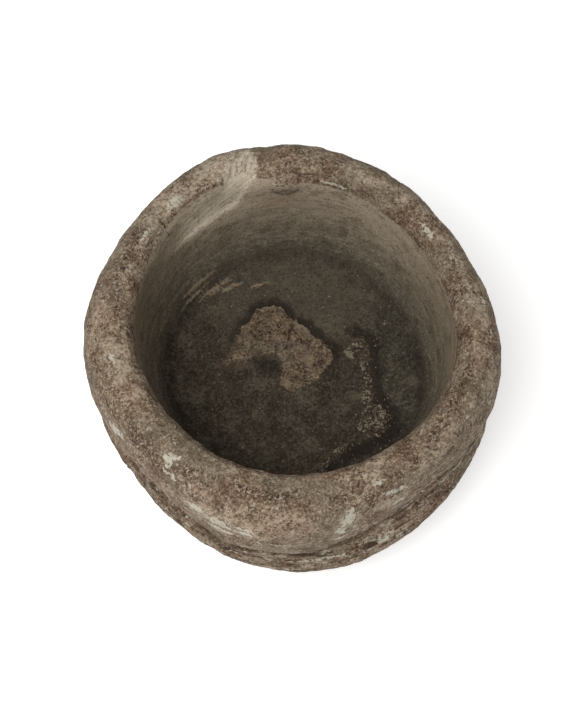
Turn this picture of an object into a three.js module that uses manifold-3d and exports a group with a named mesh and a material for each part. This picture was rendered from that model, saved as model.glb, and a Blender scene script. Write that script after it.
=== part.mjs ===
// A hewn molcajete: a deep grinding bowl cut from one block of basalt, with a heavy rolled collar,
// a fuller body below it, three stub feet and a pouring channel worn slantwise through the rim.
// Hardened residue clings to its floor: a flaked cake in the middle and a line of crust beside it.
// Millimetres, +Z up. The bowl is turned about Z, and +Y is the side that the channel pours over.
import * as THREE from "three";
import Module from "manifold-3d";
import { mergeVertices } from "three/addons/utils/BufferGeometryUtils.js";

// ---- Driving dimensions -------------------------------------------------------------------------
const height = 158;
const footHeight = 24; // from the ground to the flat underside of the body
const collarRadius = 145; // the rolled collar, halfway down its face
const collarHeight = 74; // from the crest down to the step under the collar
const bodyRadius = 150; // the fullest place of the body, below the collar
const undersideRadius = 78; // where the underside starts to curve up
const openingRadius = 111;
const floorRadius = 101; // where the wall meets the floor
const bowlDepth = 106; // from the crest to the middle of the floor
const bondGap = 0.3; // clearance between the stone and the residue on it

const columns = 96; // of facets, round the bowl
const rows = 37; // of facets, from the underside over the rim to the floor

const feet = { angles: [50, 170, 290], reach: 89, radius: 24, flare: 14, buried: 13 };

// Slow waves in plan, each a whole number of waves round the bowl, left by hewing it by eye.
// The body's strongest wave swells over each foot.
const degrees = Math.PI / 180;
const collarWaves = [
  { waves: 1, size: 3.6, turn: 148 },
  { waves: 2, size: 2.2, turn: -57 },
  { waves: 3, size: 1.7, turn: -7 },
  { waves: 4, size: 3.3, turn: -3 },
  { waves: 5, size: 2.1, turn: -23 },
];
const bodyWaves = [
  { waves: 1, size: 2.0, turn: -5 },
  { waves: 2, size: 1.1, turn: 51 },
  { waves: 3, size: 4.0, turn: feet.angles[0] },
  { waves: 4, size: 2.1, turn: -11 },
];
const openingWaves = [
  { waves: 1, size: 3.3, turn: 92 },
  { waves: 2, size: 1.5, turn: -29 },
  { waves: 3, size: 1.1, turn: -30 },
  { waves: 4, size: 1.4, turn: -10 },
];
const crestWaves = [
  { waves: 2, size: 0.9, turn: 20 },
  { waves: 3, size: 0.7, turn: 75 },
];

// The pouring channel, seen from above, from inside the bowl out over the rim. It is deepest inside
// and dies out at its mouth.
const channel = {
  innerDepth: 11,
  halfWidth: 19,
  line: [
    [-88, 50],
    [-64, 77],
    [-42, 103],
    [-27, 138],
    [-22, 160],
  ],
};

// Beside the channel, pouring and scrubbing have worn the top of the wall to lean out. Degrees round
// the bowl, and millimetres out at the rim and down the wall.
const wornWall = { middle: 126, halfSpan: 28, lean: 6.5, bottom: 48 };

// ---- The stone ----------------------------------------------------------------------------------
const { smoothstep, lerp } = THREE.MathUtils;
const points = (list) => list.map(([x, y]) => new THREE.Vector2(x, y));
const wave = (list, angle) =>
  list.reduce((sum, w) => sum + w.size * Math.cos(w.waves * (angle - w.turn * degrees)), 0);

// Half of the section, from the middle of the underside out, over the rim and down to the floor.
function section() {
  const step = height - collarHeight; // the height of the step under the collar
  const floor = height - bowlDepth;
  const underside = footHeight;
  const curve = new THREE.SplineCurve(
    points([
      [undersideRadius, underside],
      [bodyRadius - 44, underside + 1],
      [bodyRadius - 24, underside + 4.5],
      [bodyRadius - 10, underside + 13],
      [bodyRadius - 3.5, underside + 26],
      [bodyRadius - 1, underside + 38],
      [bodyRadius - 4, step - 9],
      [collarRadius - 3, step],
      [collarRadius - 1, step + 9],
      [collarRadius + 0.5, step + 22],
      [collarRadius + 0.5, step + 42],
      [collarRadius - 2, height - 18],
      [collarRadius - 7, height - 7],
      [collarRadius - 16, height - 1],
      [openingRadius + 10, height - 0.8],
      [openingRadius + 4, height - 4.5],
      [openingRadius, height - 13],
      [openingRadius - 1.5, height - 30],
      [openingRadius - 3, height - 60],
      [floorRadius + 2, floor + 22],
      [floorRadius - 6, floor + 9],
      [floorRadius - 20, floor + 3.5],
      [floorRadius - 50, floor + 0.8],
    ]),
  );
  return [new THREE.Vector2(0, underside), ...curve.getSpacedPoints(rows), new THREE.Vector2(0, floor)];
}

const channelTrack = new THREE.SplineCurve(points(channel.line)).getPoints(40);

// How far the channel lowers the rim over a place in plan.
function channelDrop(x, y) {
  const place = new THREE.Vector2(x, y);
  const gaps = channelTrack.map((p) => p.distanceTo(place));
  const nearest = Math.min(...gaps);
  const along = gaps.indexOf(nearest) / (channelTrack.length - 1);
  const aside = Math.min(1, nearest / channel.halfWidth);
  return channel.innerDepth * (1 - along) * (1 - aside ** 2) ** 2;
}

// How far the worn stretch of the wall leans out at a place.
function wallLean(angle, z) {
  const aside = Math.min(1, Math.abs(angle / degrees - wornWall.middle) / wornWall.halfSpan);
  return wornWall.lean * (1 - aside ** 2) ** 2 * smoothstep(z, height - wornWall.bottom, height - 8);
}

// Carries a point of the plain turned form to its place on the hewn stone.
function hew(point, isOutside) {
  const radius = Math.hypot(point.x, point.y);
  const angle = Math.atan2(point.y, point.x);
  const step = height - collarHeight;
  const onCollar = smoothstep(point.z, step - 14, step + 8);
  const outerShift = lerp(wave(bodyWaves, angle), wave(collarWaves, angle), onCollar);
  const overRim = smoothstep(radius, openingRadius + 3, collarRadius - 4);
  const share = point.z > height - 25 ? overRim : Number(isOutside);
  const innerShift = wave(openingWaves, angle) + wallLean(angle, point.z);
  const shift = lerp(innerShift, outerShift, share) * Math.min(1, radius / floorRadius) ** 2;
  point.x += shift * Math.cos(angle);
  point.y += shift * Math.sin(angle);
  const onRim = smoothstep(point.z, height - 45, height - 8);
  point.z += (wave(crestWaves, angle) - channelDrop(point.x, point.y)) * onRim;
}

function bodyGeometry() {
  const profile = section();
  const crest = profile.findIndex((p) => p.y >= height - 1);
  const geometry = new THREE.LatheGeometry(profile, columns).rotateX(Math.PI / 2);
  const place = geometry.getAttribute("position");
  const point = new THREE.Vector3();
  for (let i = 0; i < place.count; i++) {
    point.fromBufferAttribute(place, i);
    hew(point, i % profile.length <= crest);
    place.setXYZ(i, point.x, point.y, point.z);
  }
  return geometry;
}

// A stub foot, flat under, that widens as it runs up into the body.
function footGeometry(angle) {
  const profile = points([
    [0, 0],
    [feet.radius, 0],
    [feet.radius + 2.5, 3],
    [feet.radius + 0.4 * feet.flare, footHeight / 2],
    [feet.radius + feet.flare, footHeight + feet.buried],
    [0, footHeight + feet.buried],
  ]);
  const foot = new THREE.LatheGeometry(profile, 28).rotateX(Math.PI / 2);
  return foot.translate(feet.reach, 0, 0).rotateZ(angle * degrees);
}

// ---- Solids -------------------------------------------------------------------------------------
const wasm = await Module();
wasm.setup();

function toSolid(geometry) {
  const bare = new THREE.BufferGeometry();
  bare.setAttribute("position", geometry.getAttribute("position"));
  if (geometry.index) bare.setIndex(geometry.index);
  const merged = mergeVertices(bare, 1e-3);
  const mesh = new wasm.Mesh({
    numProp: 3,
    vertProperties: merged.getAttribute("position").array,
    triVerts: new Uint32Array(merged.index.array),
  });
  return new wasm.Manifold(mesh);
}

function toGeometry(solid) {
  const mesh = solid.getMesh();
  const geometry = new THREE.BufferGeometry();
  geometry.setAttribute("position", new THREE.BufferAttribute(mesh.vertProperties, 3));
  geometry.setIndex(new THREE.BufferAttribute(mesh.triVerts, 1));
  geometry.computeVertexNormals();
  return geometry;
}

const footSolids = feet.angles.map((angle) => toSolid(footGeometry(angle)));
const stone = footSolids.reduce((solid, foot) => solid.add(foot), toSolid(bodyGeometry()));
const clearance = stone.translate([0, 0, bondGap]);
const seated = (geometry) => toGeometry(toSolid(geometry).subtract(clearance));

// ---- The residue on the floor -------------------------------------------------------------------
const floorHeight = height - bowlDepth;

// A flat flaked cake of hardened residue, off the middle of the floor.
function cakeGeometry() {
  const rise = 5; // how far its top stands over the floor, and its blank reaches below it
  const rounding = { bevelThickness: 1.5, bevelSize: 1.5, bevelOffset: -1.5, bevelSegments: 1 };
  const outline = new THREE.Shape(
    points([
      [-20, 54],
      [-4, 47],
      [9, 38],
      [22, 28],
      [31, 19],
      [24, 6],
      [12, -6],
      [-2, -14],
      [-12, -6],
      [-17, 5],
      [-30, 7],
      [-52, 9],
      [-46, 24],
      [-36, 38],
    ]),
  );
  const depth = 2 * (rise - rounding.bevelThickness);
  const cake = new THREE.ExtrudeGeometry(outline, { depth, ...rounding });
  return cake.translate(0, 0, floorHeight - rise + rounding.bevelThickness);
}

// A rough lump: a ball drawn out to its half sizes, turned, and made uneven by a few slow ripples.
function lumpGeometry({ at, halfSize, turn }) {
  const lump = new THREE.IcosahedronGeometry(1, 3);
  const place = lump.getAttribute("position");
  const point = new THREE.Vector3();
  for (let i = 0; i < place.count; i++) {
    point.fromBufferAttribute(place, i);
    const ripple = Math.sin(3 * point.x + at[0]) * Math.sin(4 * point.y + at[1]);
    point.multiplyScalar(1 + 0.12 * ripple);
    place.setXYZ(i, point.x, point.y, point.z);
  }
  lump.scale(...halfSize).rotateZ(turn * degrees);
  return lump.translate(at[0], at[1], floorHeight + at[2]);
}

const lumps = {
  crust_wedge: { at: [49, 21, 2], halfSize: [14, 9, 5.5], turn: 70 },
  crust_string: { at: [54.5, -8, 2], halfSize: [13, 3.5, 4], turn: 93 },
  crust_clod: { at: [60, -37, 3], halfSize: [15, 10, 6.5], turn: 70 },
  crust_trail: { at: [33, -62, 2.5], halfSize: [17, 4, 4.5], turn: 48 },
};

// ---- The assembly -------------------------------------------------------------------------------
const basalt = new THREE.MeshStandardMaterial({ color: 0x776a5c, roughness: 0.95, metalness: 0 });
const residue = new THREE.MeshStandardMaterial({ color: 0x7f7263, roughness: 1, metalness: 0 });
const crust = new THREE.MeshStandardMaterial({ color: 0x6b6255, roughness: 1, metalness: 0 });

function named(name, geometry, material) {
  const mesh = new THREE.Mesh(geometry, material);
  mesh.name = name;
  return mesh;
}

const molcajete = new THREE.Group();
molcajete.add(named("stone_bowl", toGeometry(stone), basalt));
molcajete.add(named("residue_cake", seated(cakeGeometry()), residue));
for (const [name, form] of Object.entries(lumps)) {
  molcajete.add(named(name, seated(lumpGeometry(form)), crust));
}

// The origin is the middle of the footprint, on the ground.
const middle = new THREE.Box3().setFromObject(molcajete).getCenter(new THREE.Vector3());
molcajete.position.set(-middle.x, -middle.y, 0);

export default molcajete;
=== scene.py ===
"""Finishes a packed stone molcajete: hews and colours the stone, and lays the residue on its floor.

The sizes are metres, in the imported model's own frame: +Z up, the pouring channel towards +Y.
"""

import math

import bmesh
import bpy
import numpy as np
from bpy.props import FloatProperty, FloatVectorProperty, IntProperty, PointerProperty
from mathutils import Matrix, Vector, noise
from mathutils.bvhtree import BVHTree


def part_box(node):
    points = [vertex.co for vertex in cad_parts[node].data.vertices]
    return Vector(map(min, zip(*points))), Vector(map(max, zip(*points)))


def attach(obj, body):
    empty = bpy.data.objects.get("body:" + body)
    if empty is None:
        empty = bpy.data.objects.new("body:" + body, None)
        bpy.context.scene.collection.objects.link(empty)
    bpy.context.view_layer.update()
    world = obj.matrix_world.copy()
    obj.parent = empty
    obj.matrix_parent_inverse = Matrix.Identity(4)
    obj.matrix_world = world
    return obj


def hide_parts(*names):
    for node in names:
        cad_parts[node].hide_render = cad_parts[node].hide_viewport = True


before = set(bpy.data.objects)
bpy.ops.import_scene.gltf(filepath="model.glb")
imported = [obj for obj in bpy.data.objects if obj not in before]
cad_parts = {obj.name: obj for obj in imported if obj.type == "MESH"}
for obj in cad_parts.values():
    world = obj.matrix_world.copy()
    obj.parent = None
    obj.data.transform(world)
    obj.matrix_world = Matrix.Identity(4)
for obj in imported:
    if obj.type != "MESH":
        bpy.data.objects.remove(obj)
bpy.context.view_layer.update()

bl_info = {
    "name": "Molcajete finish",
    "version": (1, 0, 0),
    "blender": (4, 5, 0),
    "location": "3D View > Sidebar > Molcajete",
    "description": "Hews, colours and dresses a packed stone molcajete",
    "category": "Object",
}

MM = 0.001

# ---- Places taken from the frame ----------------------------------------------------------------

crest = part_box("stone_bowl")[1].z  # the height of the rim's highest point


def middle_of_the_turning():
    """The bowl's own axis, in plan: the stone's one corner that lies on it is the nearest to the origin."""
    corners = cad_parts["stone_bowl"].data.vertices
    pole = min((v.co for v in corners), key=lambda co: math.hypot(co.x, co.y))
    return np.array([pole.x, pole.y])


axis = middle_of_the_turning()

# ---- Sizes and colours that a user would change ------------------------------------------------------


def size(name, default, description, low=0.0):
    return FloatProperty(
        name=name, default=default, min=low, description=description, unit="LENGTH", precision=5
    )


def share(name, default, description, high=1.0):
    return FloatProperty(name=name, default=default, min=0.0, max=high, description=description)


def colour(name, red, green, blue, description):
    """A colour property from the red, green and blue, 0 to 255, that the finish shows in even light."""
    linear = [((c / 255 + 0.055) / 1.055) ** 2.4 for c in (red, green, blue)]
    return FloatVectorProperty(
        name=name, default=linear, size=3, min=0.0, max=1.0, subtype="COLOR", description=description
    )


class StoneSettings(bpy.types.PropertyGroup):
    """The hewn stone's relief and its colours."""

    grid: size("Grid", 1.15 * MM, "Spacing of the surface's points before it is thinned")
    triangles: IntProperty(
        name="Triangles", default=190000, min=1000, description="How many the stone keeps"
    )
    swell: size("Swell", 4.0 * MM, "Height of the broad unevenness left by hewing")
    lumps: size("Lumps", 2.2 * MM, "Height of the lumps that a fingertip feels")
    pore_depth: size("Pore depth", 1.6 * MM, "Depth of the large open pores")
    ledges: size("Ledges", 2.0 * MM, "Height of the layered ledges round the body")
    grain: size("Grain", 0.45 * MM, "Height of the fine grain")
    brown: colour("Brown", 123, 104, 85, "The stone of the rim")
    umber: colour("Umber", 97, 79, 62, "Its darker mottling")
    sand: colour("Sand", 142, 124, 103, "Its lighter mottling")
    pale: colour("Pale", 169, 154, 133, "The worn high places")
    drab: colour("Drab", 107, 98, 81, "The greyer stone")
    rust: colour("Rust", 84, 60, 46, "The reddish dark places")
    ruddy: colour("Ruddy", 118, 88, 70, "The redder stretches of stone")
    pit: colour("Pit", 58, 44, 34, "The open pits and pores")
    rose: colour("Rose", 158, 132, 112, "The pinkish patches")
    lime: colour("Lime", 186, 180, 164, "The lime smeared over the stone")
    wall: colour("Wall", 138, 124, 103, "The ground wall of the bowl")
    foot: colour("Wall foot", 98, 90, 75, "The stained lower wall")
    floor: colour("Floor", 60, 51, 41, "The brown stained floor")
    bare: colour("Bare floor", 62, 57, 46, "The floor that stayed bare")
    soot: colour("Soot", 30, 24, 18, "The darkest soil on the floor")
    channel: colour("Channel", 188, 176, 155, "The worn bed of the pouring channel")
    cream: colour("Cream", 206, 195, 174, "The palest streaks down that bed")


class ResidueSettings(bpy.types.PropertyGroup):
    """The hardened residue on the floor."""

    cell: size("Cell", 0.6 * MM, "Spacing of the points of each piece of residue")
    sunk: size("Sunk", 1.2 * MM, "How far each piece reaches into the stone's pores")
    cake_rise: size("Cake rise", 3.0 * MM, "Height of the cake at its highest edge")
    grains: FloatProperty(
        name="Grains", default=45000.0, min=0.0, description="Loose grains on a square metre of crust"
    )
    grain_small: size("Smallest grain", 0.35 * MM, "Half the width of the smallest loose grain")
    grain_large: size("Largest grain", 0.85 * MM, "Half the width of the largest loose grain")
    cake: colour("Cake", 102, 86, 69, "The dry top of the cake")
    cake_edge: colour("Cake edge", 140, 122, 99, "The pale broken edges of the cake")
    ash: colour("Ash", 100, 92, 80, "The greyer places on the residue")
    soil: colour("Soil", 44, 34, 26, "The dark matter in its cracks and under its edges")
    crust: colour("Crust", 66, 56, 44, "The crust at the side of the floor")
    grain: colour("Grain", 134, 122, 102, "The pale grains in the crust")
    grain_light: colour("Light grain", 160, 152, 134, "The palest grains")


class StageSettings(bpy.types.PropertyGroup):
    """The floor, the light and the camera."""

    elevation: FloatProperty(
        name="Elevation", default=math.radians(66.9), subtype="ANGLE",
        description="The line of sight's tilt above the horizon",
    )
    distance: size("Distance", 1.0, "From the camera to the middle of the rim")
    lens: FloatProperty(
        name="Lens", default=73.6, min=1.0, description="Its focal length", unit="CAMERA"
    )
    backdrop: colour("Backdrop", 250, 250, 250, "The floor that the bowl stands on")
    glow: share("Glow", 0.4, "Light that the floor gives of itself, which thins the shadow on it")
    key: FloatProperty(name="Key light", default=17.0, min=0.0, unit="POWER", description="Its power")
    fill: share("Sky", 0.45, "Brightness of the light from all around", high=10.0)


class Shades:
    """The colours of a group of settings, as plain numbers."""

    def __init__(self, look):
        self.look = look

    def __getattr__(self, name):
        return tuple(getattr(self.look, name))


# ---- Node trees ----------------------------------------------------------------------------------


class Pattern:
    """A socket of a node tree. Sums of patterns and numbers add the Math nodes that work them out.

    Every operator here has its reflected form where an expression below starts with a number.
    """

    def __init__(self, graph, socket):
        self.graph, self.socket = graph, socket

    def __add__(self, other):
        return self.graph.math("ADD", self, other)

    def __radd__(self, other):
        return self.graph.math("ADD", other, self)

    def __sub__(self, other):
        return self.graph.math("SUBTRACT", self, other)

    def __rsub__(self, other):
        return self.graph.math("SUBTRACT", other, self)

    def __mul__(self, other):
        return self.graph.math("MULTIPLY", self, other)

    def __rmul__(self, other):
        return self.graph.math("MULTIPLY", other, self)

    def __truediv__(self, other):
        return self.graph.math("DIVIDE", self, other)

    def rise(self, low, high):
        """0 up to low, 1 from high on, and a smooth rise between. A low above high falls instead."""
        values = {"Value": self, "From Min": min(low, high), "From Max": max(low, high)}
        if low > high:
            values.update({"To Min": 1.0, "To Max": 0.0})
        return self.graph.node("ShaderNodeMapRange", {"interpolation_type": "SMOOTHSTEP"}, values)


class Graph:
    """A node tree, with one method that adds a node of any kind to it."""

    def __init__(self, tree):
        self.tree = tree
        tree.nodes.clear()

    def node(self, kind, settings=None, values=None, output=0):
        """Adds a node, sets it, fills its sockets by name or number, and returns one of its outputs."""
        made = self.tree.nodes.new(kind)
        for name, value in (settings or {}).items():
            if name == "stops":
                self._set_stops(made.color_ramp.elements, value)
            else:
                setattr(made, name, value)
        for key, value in (values or {}).items():
            if isinstance(value, Pattern):
                self.tree.links.new(value.socket, made.inputs[key])
            else:
                made.inputs[key].default_value = value
        return Pattern(self, made.outputs[output]) if len(made.outputs) else None

    @staticmethod
    def _set_stops(elements, stops):
        while len(elements) < len(stops):
            elements.new(1.0)
        for element, (position, shade) in zip(elements, stops):
            element.position, element.color = position, (*shade, 1.0)

    def math(self, operation, first, second=0.0):
        return self.node("ShaderNodeMath", {"operation": operation}, {0: first, 1: second})

    def vector(self, operation, first, second=(0.0, 0.0, 0.0), output=0):
        values = {0: first, 1: second}
        return self.node("ShaderNodeVectorMath", {"operation": operation}, values, output)

    def noise(self, place, feature, detail=2.0, roughness=0.5, warp=0.0):
        """Soft noise from 0 to 1, whose largest features are about that many metres apart."""
        values = {"Vector": place, "Scale": 1.0 / feature, "Detail": detail}
        values.update({"Roughness": roughness, "Distortion": warp})
        return self.node("ShaderNodeTexNoise", {"noise_dimensions": "3D"}, values)

    def scaled(self, vector, factor):
        return self.node("ShaderNodeVectorMath", {"operation": "SCALE"}, {0: vector, "Scale": factor})

    def join(self, x, y, z):
        return self.node("ShaderNodeCombineXYZ", {}, {"X": x, "Y": y, "Z": z})

    def ramp(self, value, stops):
        """A colour for each value, from stops of (value, colour)."""
        return self.node("ShaderNodeValToRGB", {"stops": stops}, {"Fac": value})

    def mix(self, mask, low, high):
        """The colour low where the mask is 0, and high where it is 1."""
        values = {"Factor": mask, 6: low, 7: high}
        values = {k: (*v, 1.0) if isinstance(v, tuple) else v for k, v in values.items()}
        return self.node("ShaderNodeMix", {"data_type": "RGBA"}, values, output=2)

    def split(self, place):
        parts = self.tree.nodes.new("ShaderNodeSeparateXYZ")
        self.tree.links.new(place.socket, parts.inputs[0])
        return [Pattern(self, socket) for socket in parts.outputs]


class Surface(Graph):
    """A material's tree, with the place on the piece and the piece's own zones as patterns."""

    def __init__(self, material):
        material.use_nodes = True
        super().__init__(material.node_tree)
        self.place = self.node("ShaderNodeTexCoord", output="Object")

    def zone(self, name):
        return self.node("ShaderNodeAttribute", {"attribute_name": name}, output="Fac")

    def finish(self, base, roughness, height, depth, glow=0.0):
        """Ends the tree: the colour, the roughness, and a relief with that depth in metres."""
        normal = self.node("ShaderNodeBump", {}, {"Height": height, "Distance": depth})
        values = {"Base Color": base, "Roughness": roughness, "Normal": normal}
        values.update({"Specular IOR Level": 0.25, "Emission Color": (1.0,) * 4, "Emission Strength": glow})
        shader = self.node("ShaderNodeBsdfPrincipled", {}, values)
        self.node("ShaderNodeOutputMaterial", {}, {"Surface": shader})


class Shaping(Graph):
    """A geometry tree, from its named inputs to its geometry."""

    def __init__(self, name, inputs):
        super().__init__(bpy.data.node_groups.new(name, "GeometryNodeTree"))
        face = self.tree.interface
        face.new_socket("Geometry", in_out="INPUT", socket_type="NodeSocketGeometry")
        for label, kind in inputs.items():
            face.new_socket(label, in_out="INPUT", socket_type=kind)
        face.new_socket("Geometry", in_out="OUTPUT", socket_type="NodeSocketGeometry")
        source = self.tree.nodes.new("NodeGroupInput")
        self.inputs = {s.name: Pattern(self, s) for s in source.outputs if s.name}
        self.place = self.node("GeometryNodeInputPosition")

    def zone(self, name):
        return self.node(
            "GeometryNodeInputNamedAttribute", {"data_type": "FLOAT"}, {"Name": name}
        )

    def finish(self, geometry, material):
        """Ends the tree with plain geometry in that material."""
        plain = self.node("GeometryNodeRealizeInstances", {}, {"Geometry": geometry})
        dressed = self.node(
            "GeometryNodeSetMaterial", {}, {"Geometry": plain, "Material": material}
        )
        self.node("NodeGroupOutput", {}, {0: dressed})

    def apply(self, piece, values):
        """Runs the tree on a piece, with its named inputs set, and returns the mesh that comes out."""
        modifier = piece.modifiers.new(self.tree.name, "NODES")
        modifier.node_group = self.tree
        for item in self.tree.interface.items_tree:
            if item.item_type == "SOCKET" and item.in_out == "INPUT" and item.name in values:
                modifier[item.identifier] = values[item.name]
        return frozen(piece)


# ---- Mesh work -----------------------------------------------------------------------------------


def frozen(piece):
    """The piece's evaluated mesh, as a plain mesh, with its modifiers removed from the piece."""
    graph = bpy.context.evaluated_depsgraph_get()
    mesh = bpy.data.meshes.new_from_object(
        piece.evaluated_get(graph), preserve_all_data_layers=True, depsgraph=graph
    )
    piece.modifiers.clear()
    piece.data = mesh
    return mesh


def new_piece(name, mesh):
    piece = bpy.data.objects.new(name, mesh)
    bpy.context.scene.collection.objects.link(piece)
    return piece


def points_of(mesh):
    """The places of a mesh's points, as rows of x, y and z."""
    flat = np.empty(len(mesh.vertices) * 3, np.float32)
    mesh.vertices.foreach_get("co", flat)
    return flat.reshape(-1, 3).astype(float)


def normals_of(mesh):
    """The normals of a mesh's points, as rows of x, y and z."""
    flat = np.empty(len(mesh.vertices) * 3, np.float32)
    mesh.vertices.foreach_get("normal", flat)
    return flat.reshape(-1, 3).astype(float)


def set_points(mesh, points):
    mesh.vertices.foreach_set("co", points.astype(np.float32).ravel())
    mesh.update()


def set_zone(mesh, name, values):
    """Stores one number for each point, which the node trees read by its name."""
    zone = mesh.attributes.get(name) or mesh.attributes.new(name, "FLOAT", "POINT")
    zone.data.foreach_set("value", np.asarray(values, np.float32))


def smooth_rise(values, low, high):
    """0 up to low, 1 from high on, and a smooth rise between."""
    t = np.clip((values - low) / (high - low), 0.0, 1.0)
    return t * t * (3.0 - 2.0 * t)


def bell(values, width, middle=0.0):
    """1 at the middle, and a smooth fall on both sides of it, to a third at that width."""
    return np.exp(-(((values - middle) / width) ** 2))


def turn_from(around, middle):
    """How far round the bowl each place is from a middle, -180 to 180 degrees."""
    return (around - middle + 180) % 360 - 180


def by_steps(values, steps):
    """The result for each value, by straight lines between steps of (value, result)."""
    places, results = zip(*steps)
    return np.interp(values, places, results)


def nearest_along(places, line):
    """The distance from each place in plan to a line of points, and how far along it, 0 to 1."""
    line = np.asarray(line, float)
    best = np.full(len(places), np.inf)
    along = np.zeros(len(places))
    runs = np.linalg.norm(np.diff(line, axis=0), axis=1)
    starts = np.r_[0.0, np.cumsum(runs)]
    for i, run in enumerate(runs):
        way = (line[i + 1] - line[i]) / run
        t = np.clip((places - line[i]) @ way, 0.0, run)
        gap = np.linalg.norm(places - line[i] - t[:, None] * way, axis=1)
        closer = gap < best
        best[closer] = gap[closer]
        along[closer] = (starts[i] + t[closer]) / starts[-1]
    return best, along


# ---- The stone -----------------------------------------------------------------------------------

CM = 10 * MM
OPENING = 111 * MM  # from the axis to the bowl's mouth, where girth is counted from
RIM_MIDDLE = 124 * MM  # from the axis to the middle of the rim
UNDER_FLOOR = 40 * MM  # a height over the ground that no part of the bowl's inside comes down to
FLOOR_DROP = 80 * MM  # how far under the crest the stained floor starts
FOOT_SOLE = 3 * MM  # the height under which the feet stay plain, so that they stand flat
STANDING = 0.6 * MM  # a point that is lower than this is set on the ground

# Features of the surface, each as (degrees round the bowl, mm of girth, half length, half width, turn).
# Girth is counted out from the mouth: negative down the wall and over the floor, positive over the
# rim and down the outside. The turn is from the way round the bowl.
LIME = (
    (76, -8, 12, 2.5, 6),
    (210.5, 61, 15, 6.5, -40),
    (230.6, 29, 11, 4.2, 90),
    (233.4, 38.5, 6, 3.6, 35),
    (232.2, 18.5, 4.5, 3.0, -40),
    (286, 48, 15, 5.0, 110),
    (283, 66, 7, 3.5, 80),
    (296, 22, 5, 3.5, 10),
    (300, 42, 10, 4.6, 24),
    (302, 66, 6, 3.6, 25),
    (38, 3, 8, 3.2, 0),
    (8, 26, 4, 4.5, 0),
    (358, 32, 4, 3.5, 0),
    (339, 52, 5, 2.5, 60),
    (110, 31, 6, 2.2, 25),
    (148, 15, 7, 3.6, 0),
    (132, 17, 9, 5.0, 20),
    (163, 14, 4, 2.6, 0),
    (194, 18, 5, 2.6, 0),
    (251, 74, 10, 3.0, 4),
    (243, 58, 9, 4.5, 12),
    (250, 63, 9, 6, 0),
    (257, 60, 7, 3.5, 0),
    (258, 66, 8, 2.0, -4),
    (264, 79, 13, 1.4, 3),
    (283, 80, 13, 1.3, -6),
    (288, 74, 10, 1.2, -4),
)
PALE = (
    (131, 21, 32, 15, 8),
    (117, 27, 17, 10, 0),
    (150, 12, 9, 6, 0),
    (163, 13, 13, 7, 0),
    (196, 15, 16, 9, 0),
    (248, 60, 24, 15, 0),
    (286, 52, 22, 9, 108),
    (315, 36, 12, 8, 0),
    (300, 58, 14, 8, 20),
    (22, 14, 26, 5, 0),
    (5, 22, 14, 8, 0),
    (344, 40, 14, 8, 0),
    (60, 12, 20, 6, 0),
)
ROSE = (
    (179, 25, 17, 9, 70),
    (247, 26, 7, 3, 30),
    (244, 37, 9, 4, 20),
    (211, 14, 12, 6, 0),
    (96, -36, 13, 8, 0),
    (266, 52, 30, 16, 0),
    (320, 26, 14, 9, 0),
    (350, 20, 20, 8, 0),
)
RUST = (
    (150, 24, 9, 5, 0),
    (159, 20, 11, 6, 0),
    (177, 11, 5, 4, 0),
    (206, 43, 8, 5, 0),
    (237, 24, 6, 5, 0),
    (293, 35, 5, 5, 0),
    (300, 43, 5, 4, 0),
    (320, 13, 12, 6, 0),
    (262, 17, 24, 6, 0),
    (222, 36, 22, 8, 20),
    (340, 12, 22, 6, 0),
    (124, 6, 10, 4, 20),
)
DRAGGED = (
    (139, -102, 18, 4.0, 3),
    (140, -110, 17, 3.4, 5),
    (134, -119, 20, 3.8, 6),
    (127, -127, 13, 2.6, 6),
    (112, -137, 9, 2.0, 0),
)
SMOOTHED = ((112, 31, 26, 13, 0), (105, 16, 13, 9, 0))  # the worn stone beside the bed
KNOB = ((94, -15, 13, 15, 0), (88, 6, 16, 8, 0))

# Cracks, as corners of (degrees round the bowl, mm of girth), and the radius at which they are laid out.
CRACK_RADIUS = 128 * MM
CRACKS = (
    ((145, 32), (141, 22), (141, 15), (141.5, 4), (142, -14)),
    ((240.5, 14), (238.6, 22)),
    ((239.6, 24), (238.4, 32)),
    ((185, 28), (182, 19), (180, 12)),
)

# The pale bed that pouring has worn. By degrees round the bowl: how far down from the crest it reaches,
# mm, and how far out from the axis, mm.
BED_LOW = ((98, 0), (102, 4), (108, 21), (113, 36), (128, 40), (140, 40), (148, 29), (153, 8))
BED_REACH = (
    (97, 152), (103, 148), (106, 143), (112, 130), (117, 121), (134, 118), (141, 114), (150, 108),
)
# Its other side is a steep bank: degrees round the bowl, by mm from the axis.
BED_BANK = ((105, 101), (116, 101), (150, 97))
# Its middle line, as corners of (degrees round the bowl, mm of girth), and the radius it is laid out at.
BED_LINE = ((152, -20), (140, -20), (128, -17), (118, -8), (110, 5), (105, 18), (102, 32), (99, 46))
BED_RADIUS = 115 * MM
BED_PATTERN = 100  # mm of streaked pattern along the whole of that line
BED_DROP = 60 * MM  # how far under the crest no part of the bed reaches

WALL_TOP = ((88, 13), (106, 6), (148, 6), (172, 13))  # by degrees: where the wall starts, mm under the crest

COLLAR_HEIGHT = 74 * MM  # from the crest to the groove under the collar, as the CAD stone has it
COLLAR_LIFT = 22 * MM  # how much higher the groove runs over the front right
COLLAR_LIFT_MIDDLE, COLLAR_LIFT_WIDTH = 325, 26  # where that is, degrees round the bowl
COLLAR_WAVES = ((2.5, 7), (1.5, 13))  # mm, and how many go round the bowl

# Stretches of the way round, in degrees: where each begins, is full, fades and ends.
LAYERED_STRETCH = (180, 215, 330, 358)  # where the body's layers are deepest
GROOVED_STRETCH = (222, 250, 315, 342)  # where the groove is deepest

# What is raised and cut on top of the CAD stone's shape, mm.
LIP_RISE = 0.9  # over the groove
GROOVE_CUT = 3.2
KNOB_RISE = 2.4
BED_CUT = 1.4


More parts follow.
